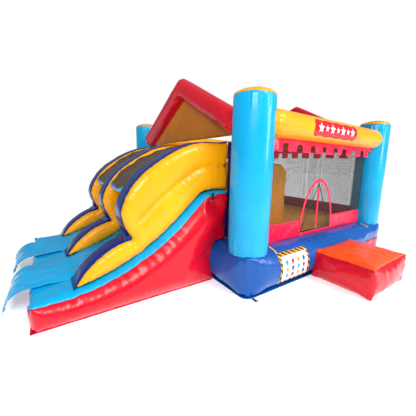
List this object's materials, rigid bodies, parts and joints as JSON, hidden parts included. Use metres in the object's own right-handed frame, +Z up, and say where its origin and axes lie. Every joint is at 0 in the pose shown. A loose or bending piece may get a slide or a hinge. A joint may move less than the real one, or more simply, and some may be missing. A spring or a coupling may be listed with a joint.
{
  "type": "inflatable bounce house",
  "caption": "Inflatable bounce house with corner pillars, gabled roof tubes, net walls, a zipped arch door, an entry step and a twin-lane side slide.",
  "frame": {"origin": "bottom centre of the whole part's box, on the ground", "axes": "+X to the right along the door front, +Y from the front to the back, +Z up; the slide runs towards -X"},
  "size_m": [5.722, 5.15, 2.9237],
  "materials": {
    "pvc_royal_blue": "gloss",
    "pvc_sky_blue": "gloss",
    "pvc_yellow": "gloss",
    "pvc_red": "gloss",
    "pvc_navy": "satin",
    "pvc_orange": "gloss",
    "tape_pink_red": "satin",
    "black_net": "matte",
    "brown_net": "matte",
    "white_patch": "satin",
    "webbing_black": "matte",
    "webbing_yellow": "matte",
    "baffle_cloth": "matte",
    "zip_black": "satin",
    "ring_steel": "satin"
  },
  "bodies": {
    "house": {"base": "pvc_royal_blue", "floor_baffles": "baffle_cloth", "jump_bed": "pvc_yellow", "pillar_front_left": "pvc_sky_blue", "pillar_front_right": "pvc_sky_blue", "pillar_rear_left": "pvc_sky_blue", "pillar_rear_right": "pvc_sky_blue", "pillar_caps": "pvc_yellow", "front_beam": "pvc_yellow", "rear_beam": "pvc_yellow", "beam_badge": "pvc_red", "front_valance": "tape_pink_red", "rear_valance": "tape_pink_red", "side_valance": "tape_pink_red", "roof_tube_left": "pvc_red", "roof_tube_right": "pvc_red", "gable_panels": "pvc_yellow", "front_net": "black_net", "rear_net": "black_net", "right_net": "black_net", "side_panels": "pvc_navy", "front_bands": "tape_pink_red", "rear_bands": "tape_pink_red", "door_arch_tape": "tape_pink_red", "sill_tape": "tape_pink_red", "step_body": "pvc_red", "step_top": "pvc_orange", "info_patch": "white_patch", "corner_strip": "pvc_red", "tie_straps": "webbing_yellow", "climb_ramp": "pvc_sky_blue", "climb_wall_near": "pvc_yellow", "climb_wall_far": "pvc_yellow", "slide_body": "pvc_red", "slide_deck": "pvc_sky_blue", "slide_wall_near": "pvc_yellow", "slide_wall_middle": "pvc_yellow", "slide_wall_far": "pvc_yellow", "wall_caps": "pvc_navy", "lane_nets": "brown_net", "cover_sheets": "pvc_sky_blue", "anchor_tabs": "webbing_black", "inlet_sleeve": "pvc_royal_blue", "sleeve_strap": "webbing_black", "vent_zip": "zip_black"},
    "left_door_flap": {"door_flap_left": "black_net", "zip_tape_left": "tape_pink_red"},
    "right_door_flap": {"door_flap_right": "black_net", "zip_tape_right": "tape_pink_red"},
    "door_slider": {"door_zip_slider": "ring_steel"},
    "sill_slider": {"sill_zip_slider": "ring_steel"},
    "near_cover_flap": {"cover_flap_near": "pvc_sky_blue"},
    "far_cover_flap": {"cover_flap_far": "pvc_sky_blue"},
    "near_tether_ring": {"tether_ring_near": "ring_steel"},
    "far_tether_ring": {"tether_ring_far": "ring_steel"},
    "front_left_ring": {"anchor_ring_front_left": "ring_steel"},
    "front_right_ring": {"anchor_ring_front_right": "ring_steel"},
    "rear_left_ring": {"anchor_ring_rear_left": "ring_steel"},
    "rear_right_ring": {"anchor_ring_rear_right": "ring_steel"},
    "vent_cover": {"vent_flap": "pvc_royal_blue"}
  },
  "joints": [
    {"name": "left_door_hinge", "type": "hinge", "parent": "house", "child": "left_door_flap", "pos_m": [0.59054, -1.525, 0.562], "axis": [-0.4723, 0, -0.8814], "range_deg": [0, 100]},
    {"name": "right_door_hinge", "type": "hinge", "parent": "house", "child": "right_door_flap", "pos_m": [1.36946, -1.525, 0.562], "axis": [-0.4723, 0, 0.8814], "range_deg": [0, 100]},
    {"name": "door_zip", "type": "slide", "parent": "left_door_flap", "child": "door_slider", "axis": [0, 0, 1], "range_m": [0, 0.59]},
    {"name": "sill_zip", "type": "slide", "parent": "house", "child": "sill_slider", "axis": [1, 0, 0], "range_m": [0, 0.74]},
    {"name": "near_cover_lift", "type": "hinge", "parent": "house", "child": "near_cover_flap", "pos_m": [-2.661, -0.473, 0.2645], "axis": [0, 1, 0], "range_deg": [0, 150]},
    {"name": "far_cover_lift", "type": "hinge", "parent": "house", "child": "far_cover_flap", "pos_m": [-2.661, 0.482, 0.2645], "axis": [0, 1, 0], "range_deg": [0, 150]},
    {"name": "near_tether_swing", "type": "hinge", "parent": "house", "child": "near_tether_ring", "pos_m": [-0.734, -1.1488, 1.085], "axis": [-1, 0, 0], "range_deg": [0, 150]},
    {"name": "far_tether_swing", "type": "hinge", "parent": "house", "child": "far_tether_ring", "pos_m": [-0.734, 1.1688, 1.085], "axis": [1, 0, 0], "range_deg": [0, 150]},
    {"name": "front_left_swing", "type": "hinge", "parent": "house", "child": "front_left_ring", "pos_m": [-0.574, -1.8353, 0.0065], "axis": [-1, 0, 0], "range_deg": [0, 150]},
    {"name": "front_right_swing", "type": "hinge", "parent": "house", "child": "front_right_ring", "pos_m": [2.736, -1.8353, 0.0065], "axis": [-1, 0, 0], "range_deg": [0, 150]},
    {"name": "rear_left_swing", "type": "hinge", "parent": "house", "child": "rear_left_ring", "pos_m": [-0.574, 2.2153, 0.0065], "axis": [1, 0, 0], "range_deg": [0, 150]},
    {"name": "rear_right_swing", "type": "hinge", "parent": "house", "child": "rear_right_ring", "pos_m": [2.736, 2.2153, 0.0065], "axis": [1, 0, 0], "range_deg": [0, 150]},
    {"name": "vent_cover_lift", "type": "hinge", "parent": "house", "child": "vent_cover", "pos_m": [0.376, 2.1596, 0.33], "axis": [1, 0, 0], "range_deg": [0, 120]}
  ]
}
